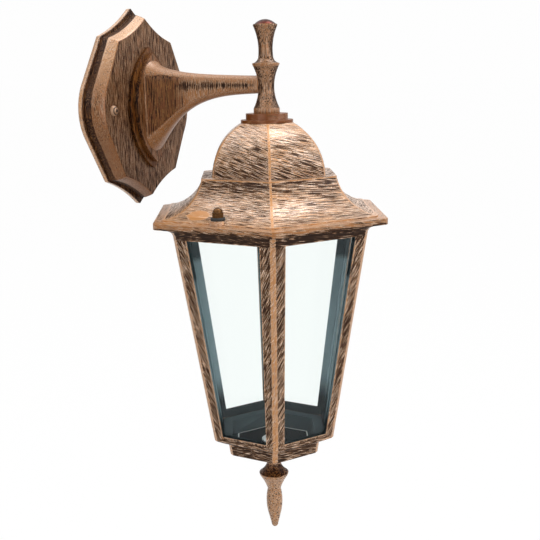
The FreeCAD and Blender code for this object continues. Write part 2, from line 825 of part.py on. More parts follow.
def roof_levels():
    """Levels of the roof's tiers, from the collar's underside to the foot of the fascia."""
    flange = dim.roof_top - dim.collar_height
    dome = flange - dim.flange_height
    ledge = dome - dim.dome_height
    skirt = ledge - dim.ledge_height
    bead = skirt - dim.skirt_height
    eave = bead - dim.bead_height
    fascia = eave - dim.eave_fall
    foot = fascia - dim.fascia_height
    return flange, dome, ledge, skirt, bead, eave, fascia, foot


def eave_ceiling():
    """Level of the flat underside of the eave, on which the cage's flange bears."""
    return roof_levels()[6] - dim.rim_ceiling


def boss_top():
    """Level of the bosses' tops, above the eave's flat rim."""
    return roof_levels()[5] + dim.boss_rise


def roof():
    """One casting: round collar on a hexagonal dome, ledge, hollow skirt and fascia, cored inside."""
    flange, dome, ledge, skirt, bead, eave, fascia, foot = roof_levels()
    wall = dim.roof_wall
    bulge_half = between(dim.dome_top_half, dim.dome_foot_half, DOME_BULGE[0])
    bulge_level = between(dome, ledge, DOME_BULGE[1])
    hollow_half = between(ledge_half, skirt_foot_half, SKIRT_HOLLOW[0])
    hollow_level = between(skirt, bead, SKIRT_HOLLOW[1])
    outside = [
        (dim.dome_top_half, dome),
        (dim.dome_foot_half, ledge, (bulge_half, bulge_level)),
        (ledge_half, ledge),
        (ledge_half, skirt),
        (skirt_foot_half, bead, (hollow_half, hollow_level)),
        (skirt_foot_half + dim.bead_height, bead),
        (skirt_foot_half + dim.bead_height, eave),
        (eave_half, fascia),
        (eave_half, foot),
    ]
    moulding = moulded_hexagon("roof_moulding", outside)
    corners = corner_limit("roof_corners", outside, dim.ridge_cut)
    shaped = boolean("MultiCommon", "roof_shape", Shapes=[moulding, corners])
    collar = turned("roof_collar", [
        (ZERO, dome - wall),
        (dim.dome_top_half - wall, dome - wall),
        (dim.dome_top_half - wall, dome),
        (dim.flange_radius, dome),
        (dim.flange_radius, flange),
        (dim.collar_radius, flange),
        (dim.collar_radius, dim.roof_top),
        (ZERO, dim.roof_top),
    ])
    stud_places = [(stud_half_span, ZERO), (-stud_half_span, ZERO)]
    ceiling = eave_ceiling()
    bosses = cylinders("roof_bosses", [(x, y, dim.boss_radius) for x, y in stud_places],
                       ceiling, boss_top() - ceiling)
    solid = boolean("MultiFuse", "roof_solid", Shapes=[shaped, collar, bosses])
    ledge_inner = skirt - dim.ledge_ceiling
    hollow_foot = skirt_foot_half - dim.skirt_foot_wall
    inside = [
        (dim.dome_top_half - wall, dome - wall),
        (dim.dome_foot_half - wall, ledge,
         (bulge_half - wall * DOME_NORMAL[0], bulge_level - wall * DOME_NORMAL[1])),
        (dim.dome_foot_half - wall, ledge_inner),
        (ledge_half - wall, ledge_inner),
        (hollow_foot, bead - dim.skirt_foot_ceiling,
         (hollow_half - wall * SKIRT_NORMAL[0], hollow_level - wall * SKIRT_NORMAL[1])),
        (hollow_foot, ceiling),
        (eave_half - wall, ceiling),
        (eave_half - wall, foot - OVERCUT),
    ]
    core = moulded_hexagon("roof_core", inside)
    nipple_hole = cylinders("roof_hanger_hole", [(ZERO, ZERO, dim.nipple_radius + dim.screw_gap)],
                            dome - wall - OVERCUT, dim.roof_top - dome + wall + OVERCUT * 2)
    stud_holes = cylinders("roof_stud_holes",
                           [(x, y, stud_hole_radius()) for x, y in stud_places],
                           ceiling - OVERCUT, boss_top() - ceiling + OVERCUT * 2)
    spot_faces = cylinders("roof_spot_faces", [(x, y, dim.boss_radius) for x, y in stud_places],
                           boss_top(), dim.skirt_height)
    hollow = boolean("MultiFuse", "roof_hollow", Shapes=[core, nipple_hole, stud_holes, spot_faces])
    return boolean("Cut", "roof", Base=solid, Tool=hollow)


def stud_hole_radius():
    return dim.stud_radius + dim.screw_gap + dim.thread_gap


# Hanger and lamp holder


def under_roof():
    """Level of the flat inside the top of the roof."""
    return roof_levels()[1] - dim.roof_wall


def hanger_nipple():
    """Hollow threaded tube from the stem down to the lamp holder."""
    top = dim.roof_top + dim.nipple_grip
    bottom = holder_top() - dim.nipple_drop
    return turned("hanger_nipple", [
        (dim.nipple_bore_radius, bottom),
        (dim.nipple_radius, bottom),
        (dim.nipple_radius, top),
        (dim.nipple_bore_radius, top),
    ])


def nipple_washer():
    top = under_roof()
    bottom = top - dim.nipple_washer_height
    hole = dim.nipple_radius + dim.screw_gap
    return turned("nipple_washer", [
        (hole, bottom), (dim.nipple_washer_radius, bottom), (dim.nipple_washer_radius, top), (hole, top),
    ])


def nipple_nut():
    bottom = under_roof() - dim.nipple_washer_height - dim.nipple_nut_height
    return hexagonal_nut("nipple_nut", dim.nipple_nut_flats, bottom, dim.nipple_nut_height,
                         dim.nipple_radius + dim.thread_gap)


def holder_top():
    """Level of the holder's neck, tight under the hanger's nut."""
    return under_roof() - dim.nipple_washer_height - dim.nipple_nut_height


def holder_seam():
    return holder_top() - dim.holder_cap_height


CAP_BULGE = (0.68, 0.32)  # shares of the cap's spread and drop at its bulge
CAP_WALL_DROP = 0.8  # share of the wall that the inside lies lower there


def holder_cap():
    """Domed cap with a threaded neck."""
    top, seam = holder_top(), holder_seam()
    wall = dim.holder_wall
    neck_foot = top - dim.holder_neck_height
    dome_foot = seam + dim.holder_side_height
    bore = dim.nipple_radius + dim.thread_gap
    inner = dim.holder_radius - wall
    bulge_level = between(neck_foot, dome_foot, CAP_BULGE[1])
    return turned("holder_cap", [
        (bore, top),
        (dim.holder_neck_radius, top),
        (dim.holder_neck_radius, neck_foot),
        (dim.holder_radius, dome_foot,
         (between(dim.holder_neck_radius, dim.holder_radius, CAP_BULGE[0]), bulge_level)),
        (dim.holder_radius, seam),
        (inner, seam),
        (inner, dome_foot),
        (bore + wall, neck_foot - wall,
         (between(bore, inner, CAP_BULGE[0]), bulge_level - wall * CAP_WALL_DROP)),
        (bore, neck_foot - wall),
    ])


def holder_body():
    """Ceramic barrel: a spigot in the cap above, a room for the contact and a well for the shell."""
    top = holder_seam() - dim.holder_seam
    spigot_top = top + dim.holder_spigot_height
    spigot = dim.holder_radius - dim.holder_wall - dim.screw_gap
    well = dim.shell_radius + dim.shell_wall + dim.screw_gap
    room = dim.shell_radius + dim.shell_wall - dim.shell_shoulder
    foot = top - dim.holder_body_height
    return turned("holder_body", [
        (ZERO, partition()),
        (room, partition()),
        (room, shell_top()),
        (well, shell_top()),
        (well, foot),
        (dim.holder_radius, foot),
        (dim.holder_radius, top),
        (spigot, top),
        (spigot, spigot_top),
        (ZERO, spigot_top),
    ])


def shell_top():
    """Level of the shoulder that the screw shell bears on."""
    foot = holder_seam() - dim.holder_seam - dim.holder_body_height
    return foot + dim.shell_recess + dim.shell_length


def partition():
    """Level of the ceiling over the contact."""
    return shell_top() + dim.contact_room


def holder_shell():
    """Brass shell that a bulb screws into."""
    top = shell_top()
    outer = dim.shell_radius + dim.shell_wall
    return turned("holder_shell", [
        (dim.shell_radius, top - dim.shell_length),
        (outer, top - dim.shell_length),
        (outer, top),
        (dim.shell_radius, top),
    ])


def holder_contact():
    """Bowed spring strip under the partition."""
    body = new_body("holder_contact")
    top = partition()
    low = top - dim.contact_drop
    half = dim.contact_half_length
    strip = dim.contact_strip
    sketch = trace(sketch_on(body, "XZ_Plane"), [
        (-half, top),
        (-half, top - strip),
        (half, top - strip, (ZERO, low - strip)),
        (half, top),
        (half - strip, top),
        (-half + strip, top, (ZERO, low)),
    ])
    pad(body, sketch, dim.contact_width, SideType="Symmetric")
    return body


# Cap nuts, seals and studs

NUT_CAP_SIDE = 0.35  # share of the cap's height that is a plain cylinder


def seal_washers():
    """Two rubber washers on the roof's bosses."""
    circles = []
    for centre in (-stud_half_span, stud_half_span):
        circles.append((centre, ZERO, dim.seal_radius))
        circles.append((centre, ZERO, stud_hole_radius()))
    return cylinders("seal_washers", circles, boss_top(), dim.seal_height)


def thumb_nut(name, centre):
    """Hexagonal nut with a domed cap, threaded from below."""
    body = new_body("thumb_nut_" + name)
    bottom = boss_top() + dim.seal_height
    top = bottom + dim.nut_height
    pad(body, trace(sketch_on(body, "XY_Plane", bottom, centre), hexagon(dim.nut_flats * 0.5)),
        dim.nut_height)
    cap_side = top + dim.nut_cap_height * NUT_CAP_SIDE
    crown_radius, crown_rise = cap_middle(dim.nut_cap_radius, dim.nut_cap_height * (1 - NUT_CAP_SIDE))
    cap = trace(sketch_on(body, "XZ_Plane", ZERO, centre), [
        (ZERO, top),
        (dim.nut_cap_radius, top),
        (dim.nut_cap_radius, cap_side),
        (ZERO, top + dim.nut_cap_height, (crown_radius, cap_side + crown_rise)),
    ])
    revolve(body, cap)
    thread = rings(sketch_on(body, "XY_Plane", bottom, centre),
                   [(ZERO, ZERO, dim.stud_radius + dim.thread_gap)])
    pocket(body, thread, dim.nut_thread, Reversed=True)
    return body


def cage_studs():
    """Two studs that stand on the cage's flange and pass up through the roof."""
    bottom = eave_ceiling() - dim.stud_root
    top = boss_top() + dim.seal_height + dim.nut_thread - dim.stud_end_gap
    circles = [(centre, ZERO, dim.stud_radius) for centre in (-stud_half_span, stud_half_span)]
    return cylinders("cage_studs", circles, bottom, top - bottom)


# Cage

FRIEZE_BULGE = (0.72, 0.45)  # shares of the frieze's width and drop at its bulge


def cage_level(drop):
    """A level so far under the eave's flat underside, where the cage begins."""
    return eave_ceiling() - drop


def cage_slope():
    """How much the faces' half width grows for each millimetre up."""
    rise = dim.foot_drop.value - dim.shoulder_drop.value
    return (shoulder_half.value - foot_half.value) / rise


def cage_tilt():
    """Lean of the cage's faces in degrees."""
    return math.degrees(math.atan(cage_slope()))


def face_half(drop):
    """Half across flats of the sloping faces at a drop below the eave."""
    return shoulder_half + (dim.shoulder_drop - drop) * cage_slope()


def face_height(drop):
    """Height up a sloping face, counted from the cage's shoulder."""
    return (dim.shoulder_drop - drop) * (1.0 / math.cos(math.radians(cage_tilt())))


def face_sketch(body, depth):
    """A sketch on the +X sloping face, so far behind its surface. Its middle is at the shoulder."""
    sketch = body.newObject("Sketcher::SketchObject", body.Label + "_sketch")
    sketch.AttachmentSupport = (origin_feature(body, "YZ_Plane"), [""])
    sketch.MapMode = "FlatFace"
    tilt = cage_tilt()
    sketch.AttachmentOffset = Placement(Vector(), Rotation(Vector(1, 0, 0), tilt))
    behind_face = depth * math.cos(math.radians(tilt))
    below_face = depth * math.sin(math.radians(tilt))
    bind(sketch, "AttachmentOffset.Base.y", cage_level(dim.shoulder_drop) + below_face)
    bind(sketch, "AttachmentOffset.Base.z", shoulder_half - behind_face)
    return sketch


def window_half(drop):
    """Half width of a window's opening at a drop below the eave: its sides run straight on."""
    run = window_foot_drop.value - window_top_drop.value
    share = (drop.value - window_top_drop.value) / run
    top_half = face_half(window_top_drop) * FACE_SHARE - dim.post_top_width
    low_half = face_half(window_foot_drop) * FACE_SHARE - dim.post_foot_width
    return between(top_half, low_half, share)


def face_panel(top_drop, foot_drop, margin):
    """A tapered panel of a face: the window's sides moved out by a margin."""
    top, foot = face_height(top_drop), face_height(foot_drop)
    top_half = window_half(top_drop) + margin
    low_half = window_half(foot_drop) + margin
    return [(-low_half, foot), (low_half, foot), (top_half, top), (-top_half, top)]


def face_cutters(label, corners, depth, thickness):
    """One panel-shaped cutter in each face, thickness outwards from a depth behind the face."""
    body = new_body(label)
    cutter = pad(body, trace(face_sketch(body, depth), corners), thickness)
    round_the_axis(body, cutter)
    return body


def groove_width():
    return dim.pane_thickness + dim.pane_gap * 2.0


def shell_thickness():
    return dim.pane_cover + groove_width() + dim.pane_lip


def inner_half(drop):
    """Half across flats inside the sloping walls at a drop below the eave."""
    return face_half(drop) - shell_thickness() * (1.0 / math.cos(math.radians(cage_tilt())))


def cage_frame():
    """One casting: flange, six posts and bottom rail, with grooves for the panes and a lip at its foot."""
    frieze_foot = dim.shoulder_drop
    outside = [
        (cage_flange_half, cage_level(ZERO)),
        (cage_flange_half, cage_level(dim.cage_flange_height)),
        (frieze_half, cage_level(dim.frieze_drop)),
        (shoulder_half, cage_level(frieze_foot),
         (between(frieze_half, shoulder_half, FRIEZE_BULGE[0]),
          cage_level(between(dim.frieze_drop, frieze_foot, FRIEZE_BULGE[1])))),
        (foot_half, cage_level(dim.foot_drop)),
        (post_end_half, cage_level(post_end)),
        (dish_mouth_half + dim.lip_land, cage_level(base_top)),
    ]
    moulding = moulded_hexagon("cage_moulding", outside)
    corners = corner_limit("cage_corners", outside, dim.post_cut)
    shaped = boolean("MultiCommon", "cage_shape", Shapes=[moulding, corners])
    inside = [
        (inner_half(-length(OVERCUT)), cage_level(-length(OVERCUT))),
        (inner_half(lip_top), cage_level(lip_top)),
        (dish_mouth_half, cage_level(lip_top)),
        (dish_mouth_half, cage_level(base_top + OVERCUT)),
    ]
    core = funnel("cage_core", inside)
    windows = face_cutters(
        "cage_windows", face_panel(window_top_drop, window_foot_drop, ZERO),
        shell_thickness() + OVERCUT, shell_thickness() + OVERCUT * 2)
    groove_foot = window_foot_drop + dim.groove_depth
    grooves = face_cutters(
        "cage_grooves", face_panel(-length(OVERCUT), groove_foot, dim.groove_depth),
        dim.pane_cover + groove_width(), groove_width())
    recess = face_cutters(
        "cage_rail_recess", face_panel(window_foot_drop, base_top, ZERO),
        dim.post_proud, dim.post_proud + OVERCUT)
    stud_holes = cylinders(
        "cage_stud_holes",
        [(centre, ZERO, dim.stud_radius + dim.thread_gap) for centre in (-stud_half_span, stud_half_span)],
        cage_level(dim.stud_root), dim.stud_root + OVERCUT)
    hollow = boolean("MultiFuse", "cage_hollow", Shapes=[core, windows, grooves, recess])
    opened = boolean("Cut", "cage_opened", Base=shaped, Tool=hollow)
    return boolean("Cut", "cage_frame", Base=opened, Tool=stud_holes)


def cage_dish():
    """One casting: a dish dropped in from above, whose floor has a gutter round a raised middle."""
    rim_half = inner_half(lip_top) - dim.dish_gap
    rim_top = lip_top - dim.dish_rim_height
    floor = base_foot - dim.floor_thickness
    pad_top = floor - dim.pad_height
    outside = [
        (rim_half, cage_level(rim_top)),
        (rim_half, cage_level(lip_top)),
        (base_half, cage_level(lip_top)),
        (base_half, cage_level(base_top)),
        (base_foot_half, cage_level(base_foot)),
    ]
    moulding = moulded_hexagon("dish_moulding", outside)
    corners = corner_limit("dish_corners", outside, dim.post_cut)
    shaped = boolean("MultiCommon", "dish_shape", Shapes=[moulding, corners])
    well = moulded_hexagon("dish_well", [
        (well_half, cage_level(rim_top - OVERCUT)),
        (well_half, cage_level(floor)),
    ])
    island = moulded_hexagon("dish_pad", [
        (pad_half, cage_level(pad_top)),
        (pad_half, cage_level(floor + OVERCUT)),
    ])
    finial_hole = cylinders(
        "dish_finial_hole", [(ZERO, ZERO, dim.finial_stud_radius + dim.screw_gap)],
        cage_level(base_foot) - OVERCUT, dim.floor_thickness + dim.pad_height + OVERCUT * 2)
    room = boolean("Cut", "dish_room", Base=well, Tool=island)
    hollow = boolean("MultiFuse", "dish_hollow", Shapes=[room, finial_hole])
    return boolean("Cut", "cage_dish", Base=shaped, Tool=hollow)


def funnel(label, profile):
    """A hexagonal hollow that narrows downwards, from lofts between hexagons at each level."""
    body = new_body(label)
    for upper, lower in zip(profile, profile[1:]):
        if upper[1].formula == lower[1].formula:
            continue
        sections = [
            trace(sketch_on(body, "XY_Plane", level), hexagon(half)) for half, level in (upper, lower)
        ]
        loft(body, "AdditiveLoft", sections, ruled=True)
    return body


def glass_pane(number):
    """A flat pane in the grooves of two posts. It stands on the groove of the bottom rail."""
    body = new_body(f"glass_pane_{number}", turn=FACE_TURN * number)
    groove_foot = window_foot_drop + dim.groove_depth
    corners = face_panel(dim.pane_gap * 2.0, groove_foot, dim.groove_depth - dim.pane_gap)
    back = dim.pane_cover + dim.pane_gap + dim.pane_thickness
    pad(body, trace(face_sketch(body, back), corners), dim.pane_thickness)
    return body


# Finial

RING_CUP = (0.36, 0.52)  # shares of the spread and drop at the hollow above the ring
RING_BELL = (0.62, 0.5)  # and at the swell below it


def base_level():
    """Level of the dish's underside."""
    return cage_level(base_foot)


def floor_level():
    """Level of the raised pad in the middle of the floor."""
    return base_level() + dim.floor_thickness + dim.pad_height


def finial():
    """Turned drop: collar, neck, ring, waist, bud and point, tapped from above for its stud."""
    top = base_level()

    def at(drop):
        return top - drop

    tapped = dim.finial_stud_radius + dim.thread_gap
    ring_edge = dim.finial_ring_drop
    ring_foot = ring_edge + dim.finial_ring_height
    tip_radius = dim.finial_tip_radius * math.sqrt(0.5)
    tip_rise = dim.finial_tip_radius * (1 - math.sqrt(0.5))
    return turned("finial", [
        (tapped, top),
        (dim.finial_collar_radius, top),
        (dim.finial_collar_radius, at(dim.finial_collar_height)),
        (dim.finial_neck_radius, at(dim.finial_neck_drop),
         (dim.finial_throat_radius, at(dim.finial_throat_drop))),
        (dim.finial_ring_radius, at(ring_edge),
         (between(dim.finial_neck_radius, dim.finial_ring_radius, RING_CUP[0]),
          at(between(dim.finial_neck_drop, ring_edge, RING_CUP[1])))),
        (dim.finial_ring_radius - dim.finial_ring_draw, at(ring_foot)),
        (dim.finial_waist_radius, at(dim.finial_waist_drop),
         (between(dim.finial_ring_radius, dim.finial_waist_radius, RING_BELL[0]),
          at(between(ring_foot, dim.finial_waist_drop, RING_BELL[1])))),
        (dim.finial_point_radius, at(dim.finial_point_drop),
         (dim.finial_bud_radius, at(dim.finial_bud_drop))),
        (dim.finial_tip_radius, at(dim.finial_tip_drop - dim.finial_tip_radius)),
        (ZERO, at(dim.finial_tip_drop), (tip_radius, at(dim.finial_tip_drop) + tip_rise)),
        (ZERO, at(dim.finial_stud_root)),
        (tapped, at(dim.finial_stud_root)),
    ])


def finial_stud():
    bottom = base_level() - dim.finial_stud_root
    top = floor_level() + dim.finial_washer_height + dim.finial_nut_height + dim.finial_stud_end
    return cylinders("finial_stud", [(ZERO, ZERO, dim.finial_stud_radius)], bottom, top - bottom)


def finial_washer():
    hole = dim.finial_stud_radius + dim.screw_gap
    circles = [(ZERO, ZERO, dim.finial_washer_radius), (ZERO, ZERO, hole)]
    return cylinders("finial_washer", circles, floor_level(), dim.finial_washer_height)


def finial_nut():
    return hexagonal_nut("finial_nut", dim.finial_nut_flats, floor_level() + dim.finial_washer_height,
                         dim.finial_nut_height, dim.finial_stud_radius + dim.thread_gap)


# Build, test and write

MAKERS = (
    wall_plate, mounting_strap, plate_screws, earth_screw, terminal_block, terminal_screws,
    arm_bracket, arm_bolts, stem_plug, roof, hanger_nipple, nipple_washer, nipple_nut,
    holder_cap, holder_body, holder_shell, holder_contact, seal_washers, cage_studs, cage_frame,
    cage_dish, finial, finial_stud, finial_washer, finial_nut,
)
parts = [make() for make in MAKERS]
parts += [thumb_nut("left", -stud_half_span), thumb_nut("right", stud_half_span)]
parts += [glass_pane(number) for number in range(1, FACES + 1)]
doc.recompute()

failed = [item.Label for item in doc.Objects if "Invalid" in item.State or "Error" in item.State]
bad = [item.Label for item in parts if item.Shape.isNull() or not item.Shape.isValid()]
if failed or bad:
    raise RuntimeError(f"failed objects {failed}, bad shapes {bad}")

os.makedirs("parts", exist_ok=True)
for item in parts:
    item.Shape.exportStep(f"parts/{item.Label}.step")
    solids = len(item.Shape.Solids)
    print(f"{item.Label}: {solids} solid(s), {item.Shape.Volume / 1000.0:.2f} cm3")
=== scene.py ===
"""Looks of the garden lantern: copper lacquer dry-brushed with dark glaze, clear panes, plated fixings."""
import math

import bpy
from mathutils import Matrix, Vector

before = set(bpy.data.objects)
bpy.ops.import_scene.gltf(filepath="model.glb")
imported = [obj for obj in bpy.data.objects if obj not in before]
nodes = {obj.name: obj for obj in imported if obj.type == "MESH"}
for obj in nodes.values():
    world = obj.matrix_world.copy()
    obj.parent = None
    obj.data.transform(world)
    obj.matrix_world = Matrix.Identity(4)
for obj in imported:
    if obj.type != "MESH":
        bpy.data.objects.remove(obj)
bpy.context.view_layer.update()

# Measures of the castings in millimetres. Levels count up from the middle of the wall plate, widths out from
# the lantern's upright axis to the middle of a face, and depths out from the wall

MM = 1000.0  # millimetres in a metre
REACH = 113.0  # wall to the lantern's upright axis
FACE_TURN = math.radians(60)  # one face of the hexagon to the next
FACE_APART = 37.0  # keeps the marks of one face from running on into the next
NO_EDGE = 100.0  # past every edge
COLLAR_FOOT = -9.7  # level at which the round collar stands on the dome
LEDGE_EDGE = -44.1  # level of the edge of the ledge under the dome
SKIRT_LIP = 69.0  # width of the lip at the foot of the skirt
FRIEZE_FOOT = -82.3  # level at which the frieze ends and the posts begin
WINDOW_FOOT = -224.5  # level of the windows' lower edge
POST_FOOT = -226.0
POST_WIDTH, POST_TAPER = 9.5, 0.01716  # half a post at its head, and how it narrows for each millimetre down
CAGE_HEAD, CAGE_HEAD_WIDTH = -80.6, 64.0
CAGE_SLOPE = 0.1504  # how the cage narrows for each millimetre down
DISH_RIM, DISH_FLOOR = -230.4, -241.2  # levels
STEM_RADIUS = 8.7
ARM_LEVEL, ARM_HALF = 15.5, 8.6  # level of the arm's middle at the stem, and half its height there
FOOT_DEPTH = 22.2  # depth of the front of the arm's foot


def colour(hex_code):
    """An sRGB hex value as linear red, green, blue and alpha."""
    parts = [int(hex_code[i:i + 2], 16) / 255 for i in (0, 2, 4)]
    return tuple(c / 12.92 if c <= 0.04045 else ((c + 0.055) / 1.055) ** 2.4 for c in parts) + (1.0,)


def add(tree, kind, links=None, **settings):
    """Add a node with its settings. Its inputs take numbers, colours, sockets or other nodes."""
    node = tree.nodes.new("ShaderNode" + kind)
    for name, setting in settings.items():
        setattr(node, name, setting)
    for socket, source in (links or {}).items():
        if isinstance(source, bpy.types.Node):
            source = source.outputs[0]
        if isinstance(source, bpy.types.NodeSocket):
            tree.links.new(source, node.inputs[socket])
        else:
            node.inputs[socket].default_value = source
    return node


def new_finish(name):
    """An empty material and its tree."""
    finish = bpy.data.materials.new(name)
    finish.use_nodes = True
    finish.node_tree.nodes.clear()
    return finish, finish.node_tree


def give_surface(tree, shader):
    """Join a shader to the material's output."""
    add(tree, "OutputMaterial", {"Surface": shader})


# Places on the lantern, in millimetres


def place_from_axis(tree):
    """Object coordinates in millimetres, with the lantern's upright axis at x = y = 0."""
    metres = add(tree, "TexCoord").outputs["Object"]
    scaled = add(tree, "VectorMath", {0: metres, "Scale": MM}, operation="SCALE")
    return add(tree, "VectorMath", {0: scaled, 1: (0.0, REACH, 0.0)}, operation="ADD")


def hexagon_place(tree):
    """Measures on a hexagonal casting.

    out: width of the face here; along: sideways from the face's middle; face: its number, -3 to 2;
    wallward: towards the wall from the axis; corner: sideways from the nearest corner."""
    position = place_from_axis(tree)
    place = add(tree, "SeparateXYZ", {0: position}).outputs
    angle = add(tree, "Math", {0: place["Y"], 1: place["X"]}, operation="ARCTAN2")
    turns = add(tree, "Math", {0: angle, 1: 1 / FACE_TURN}, operation="MULTIPLY")
    nearest = add(tree, "Math", {0: turns}, operation="ROUND")
    face = add(tree, "Math", {0: nearest, 1: 2.5, 2: -3.5}, operation="WRAP").outputs[0]
    back = add(tree, "Math", {0: face, 1: -FACE_TURN}, operation="MULTIPLY")
    turned = add(tree, "VectorRotate", {"Vector": position, "Angle": back}, rotation_type="Z_AXIS")
    local = add(tree, "SeparateXYZ", {0: turned}).outputs
    sideways = add(tree, "Math", {0: local["Y"]}, operation="ABSOLUTE")
    edge = add(tree, "Math", {0: local["X"], 1: math.tan(FACE_TURN / 2)}, operation="MULTIPLY")
    corner = add(tree, "Math", {0: edge, 1: sideways}, operation="SUBTRACT").outputs[0]
    return {"out": local["X"], "along": local["Y"], "level": local["Z"], "face": face,
            "wallward": place["Y"], "corner": corner}


def steps(tree, start, changes):
    """A start value changed by steps (measure, from, to, amount) along the piece's own measures."""
    total = start
    for measure, low, high, amount in changes:
        step = add(tree, "MapRange", {"Value": measure, "From Min": low, "From Max": high, "To Max": amount},
                   interpolation_type="SMOOTHSTEP")
        total = add(tree, "Math", {0: total, 1: step}, operation="ADD")
    return total


# Finishes of the castings

# the second colour is pale rubbed-through lacquer, drawn near white as a painted sheen on the bristle marks
BARE, RUBBED_AND_SHEEN, COPPER = "B27A42", "E8D4C0", "9A6C40"
GLAZE, GLAZE_BROWN, WASH_AND_SHADE_TINT = "2B190D", "5E412A", "8C6828"
# primer colours: the first is the primer in shade, the second the same primer in light, mixed as painted
# light and shade, and the third a painted highlight on its edges
SLATE, SLATE_LIT, SLATE_EDGE_HIGHLIGHT = "0A1316", "7C9096", "F0F4F4"
STROKE = (9.5, 0.35, 0.35)  # a bristle's mark, mm: about twice as coarse as real so that it shows
GRIT = (1.2, 0.5, 0.5)  # specks of glaze between the marks, mm, drawn coarse as well
PATCH = (30.0, 14.0, 14.0)  # where the brush was fuller or drier, mm
GRIT_SHARE, PATCH_SHARE = 0.2, 0.18
GLAZE_STARTS, GLAZE_COVERS = 0.67, 0.83  # depths of glaze
LAYERS = [  # colours by depth of glaze
    (0.47, BARE), (0.55, BARE), (0.62, RUBBED_AND_SHEEN), (0.69, COPPER), (0.76, GLAZE_BROWN), (0.90, GLAZE),
]
MARK_RELIEF = 0.0002  # metres


def brushed_copper(name, measure, inside_of=None):
    """Copper-coloured lacquer on cast aluminium, dry-brushed with a dark brown glaze.

    The lacquer is a satin paint under a clear coat, so ridges, rims and the bare gaps between bristle marks
    catch a white sheen. The glaze stays dull, in broken marks on the flats, with pale hairlines where the
    bristles rubbed through, drawn near white as a painted sheen. measure returns the place of the marks, how
    much glaze lies there and how far a thin brown film of it browns the copper, which in places is painted
    shade, or where it is taken away a painted highlight; inside_of tells how far a point lies inside, where a
    dull slate grey primer shows instead, how pale it is, as painted light and shade, and how far its edges
    carry a painted highlight."""
    finish, tree = new_finish(name)
    marks, lean, wash_and_shade = measure(tree)
    bristles, grit, patches = [
        add(tree, "TexNoise", {
            "Vector": add(tree, "VectorMath", {0: marks, 1: size}, operation="DIVIDE"),
            "Scale": 1.0, "Detail": detail, "Roughness": 0.6})
        for size, detail in ((STROKE, 0.0), (GRIT, 0.0), (PATCH, 2.0))
    ]
    speckled = add(tree, "Math", {0: grit, 1: GRIT_SHARE, 2: bristles}, operation="MULTIPLY_ADD")
    patched = add(tree, "Math", {0: patches, 1: PATCH_SHARE, 2: speckled}, operation="MULTIPLY_ADD")
    depth = add(tree, "Math", {0: patched, 1: lean}, operation="ADD")
    glaze = add(tree, "MapRange", {"Value": depth, "From Min": GLAZE_STARTS, "From Max": GLAZE_COVERS})
    low, high = LAYERS[0][0], LAYERS[-1][0]
    layers = add(tree, "ValToRGB", {
        0: add(tree, "MapRange", {"Value": depth, "From Min": low, "From Max": high})})
    while len(layers.color_ramp.elements) < len(LAYERS):
        layers.color_ramp.elements.new(1.0)
    for stop, (at, tint) in zip(layers.color_ramp.elements, LAYERS):
        stop.position = (at - low) / (high - low)
        stop.color = colour(tint)
    # the brown film of glaze browns the copper; in the cove, on the horn's side panel and in the finial's
    # bowl it also stands as painted shade, and where it is taken off the upper bevel it is a painted
    # highlight
    paint = add(tree, "Mix", {0: wash_and_shade, 6: layers, 7: colour(WASH_AND_SHADE_TINT)},
                data_type="RGBA", blend_type="MULTIPLY").outputs[2]
    metal = add(tree, "MapRange", {"Value": glaze, "To Min": 0.17, "To Max": 0.0}).outputs[0]
    rough = add(tree, "MapRange", {"Value": glaze, "To Min": 0.42, "To Max": 0.7}).outputs[0]
    clear = add(tree, "MapRange", {"Value": glaze, "To Min": 1.0, "To Max": 0.1})
    dulled = add(tree, "MapRange", {"Value": wash_and_shade, "To Min": 1.0, "To Max": 0.3})
    coat = add(tree, "Math", {0: clear, 1: dulled}, operation="MULTIPLY").outputs[0]
    if inside_of:
        inside, tone, edge = inside_of(tree)
        # inside: primer mixed between its shaded and lit colours as painted light and shade, with a painted
        # highlight on its edges
        primer = add(tree, "Mix", {0: tone, 6: colour(SLATE), 7: colour(SLATE_LIT)},
                     data_type="RGBA").outputs[2]
        rubbed = add(tree, "Mix", {0: edge, 6: primer, 7: colour(SLATE_EDGE_HIGHLIGHT)}, data_type="RGBA").outputs[2]
        paint = add(tree, "Mix", {0: inside, 6: paint, 7: rubbed}, data_type="RGBA").outputs[2]
        metal = add(tree, "Mix", {0: inside, 2: metal, 3: 0.0}).outputs[0]
        rough = add(tree, "Mix", {0: inside, 2: rough, 3: 0.9}).outputs[0]
        coat = add(tree, "Mix", {0: inside, 2: coat, 3: 0.0}).outputs[0]
    bump = add(tree, "Bump", {"Strength": 0.35, "Distance": MARK_RELIEF, "Height": speckled})
    give_surface(tree, add(tree, "BsdfPrincipled", {
        "Base Color": paint, "Metallic": metal, "Roughness": rough, "Normal": bump,
        "Specular IOR Level": 0.1, "Coat Weight": coat, "Coat Roughness": 0.32, "Coat IOR": 1.5}))
    return finish


def face_marks(tree, at, angle):
    """Place of the marks on the faces of a hexagon, down and out along its profile, turned by an angle."""
    profile = add(tree, "Math", {0: at["level"], 1: at["out"]}, operation="SUBTRACT")
    flat = add(tree, "CombineXYZ", {0: at["along"], 1: profile, 2: at["face"]})
    apart = add(tree, "VectorMath", {0: flat, 1: (1.0, 1.0, FACE_APART)}, operation="MULTIPLY")
    return add(tree, "VectorRotate", {"Vector": apart, "Angle": angle}, rotation_type="Z_AXIS")


ROOF_FINER = (1.1, 0.92, 1.0)
SKIRT_SLANT, DOME_MORE = math.radians(6), math.radians(15)
MISSED_MIDDLE = (-19.0, -126.5, -3 * FACE_APART)  # along, profile and face of a patch that the brush missed
MISSED_HALF = (9.0, 8.0, 5.0)


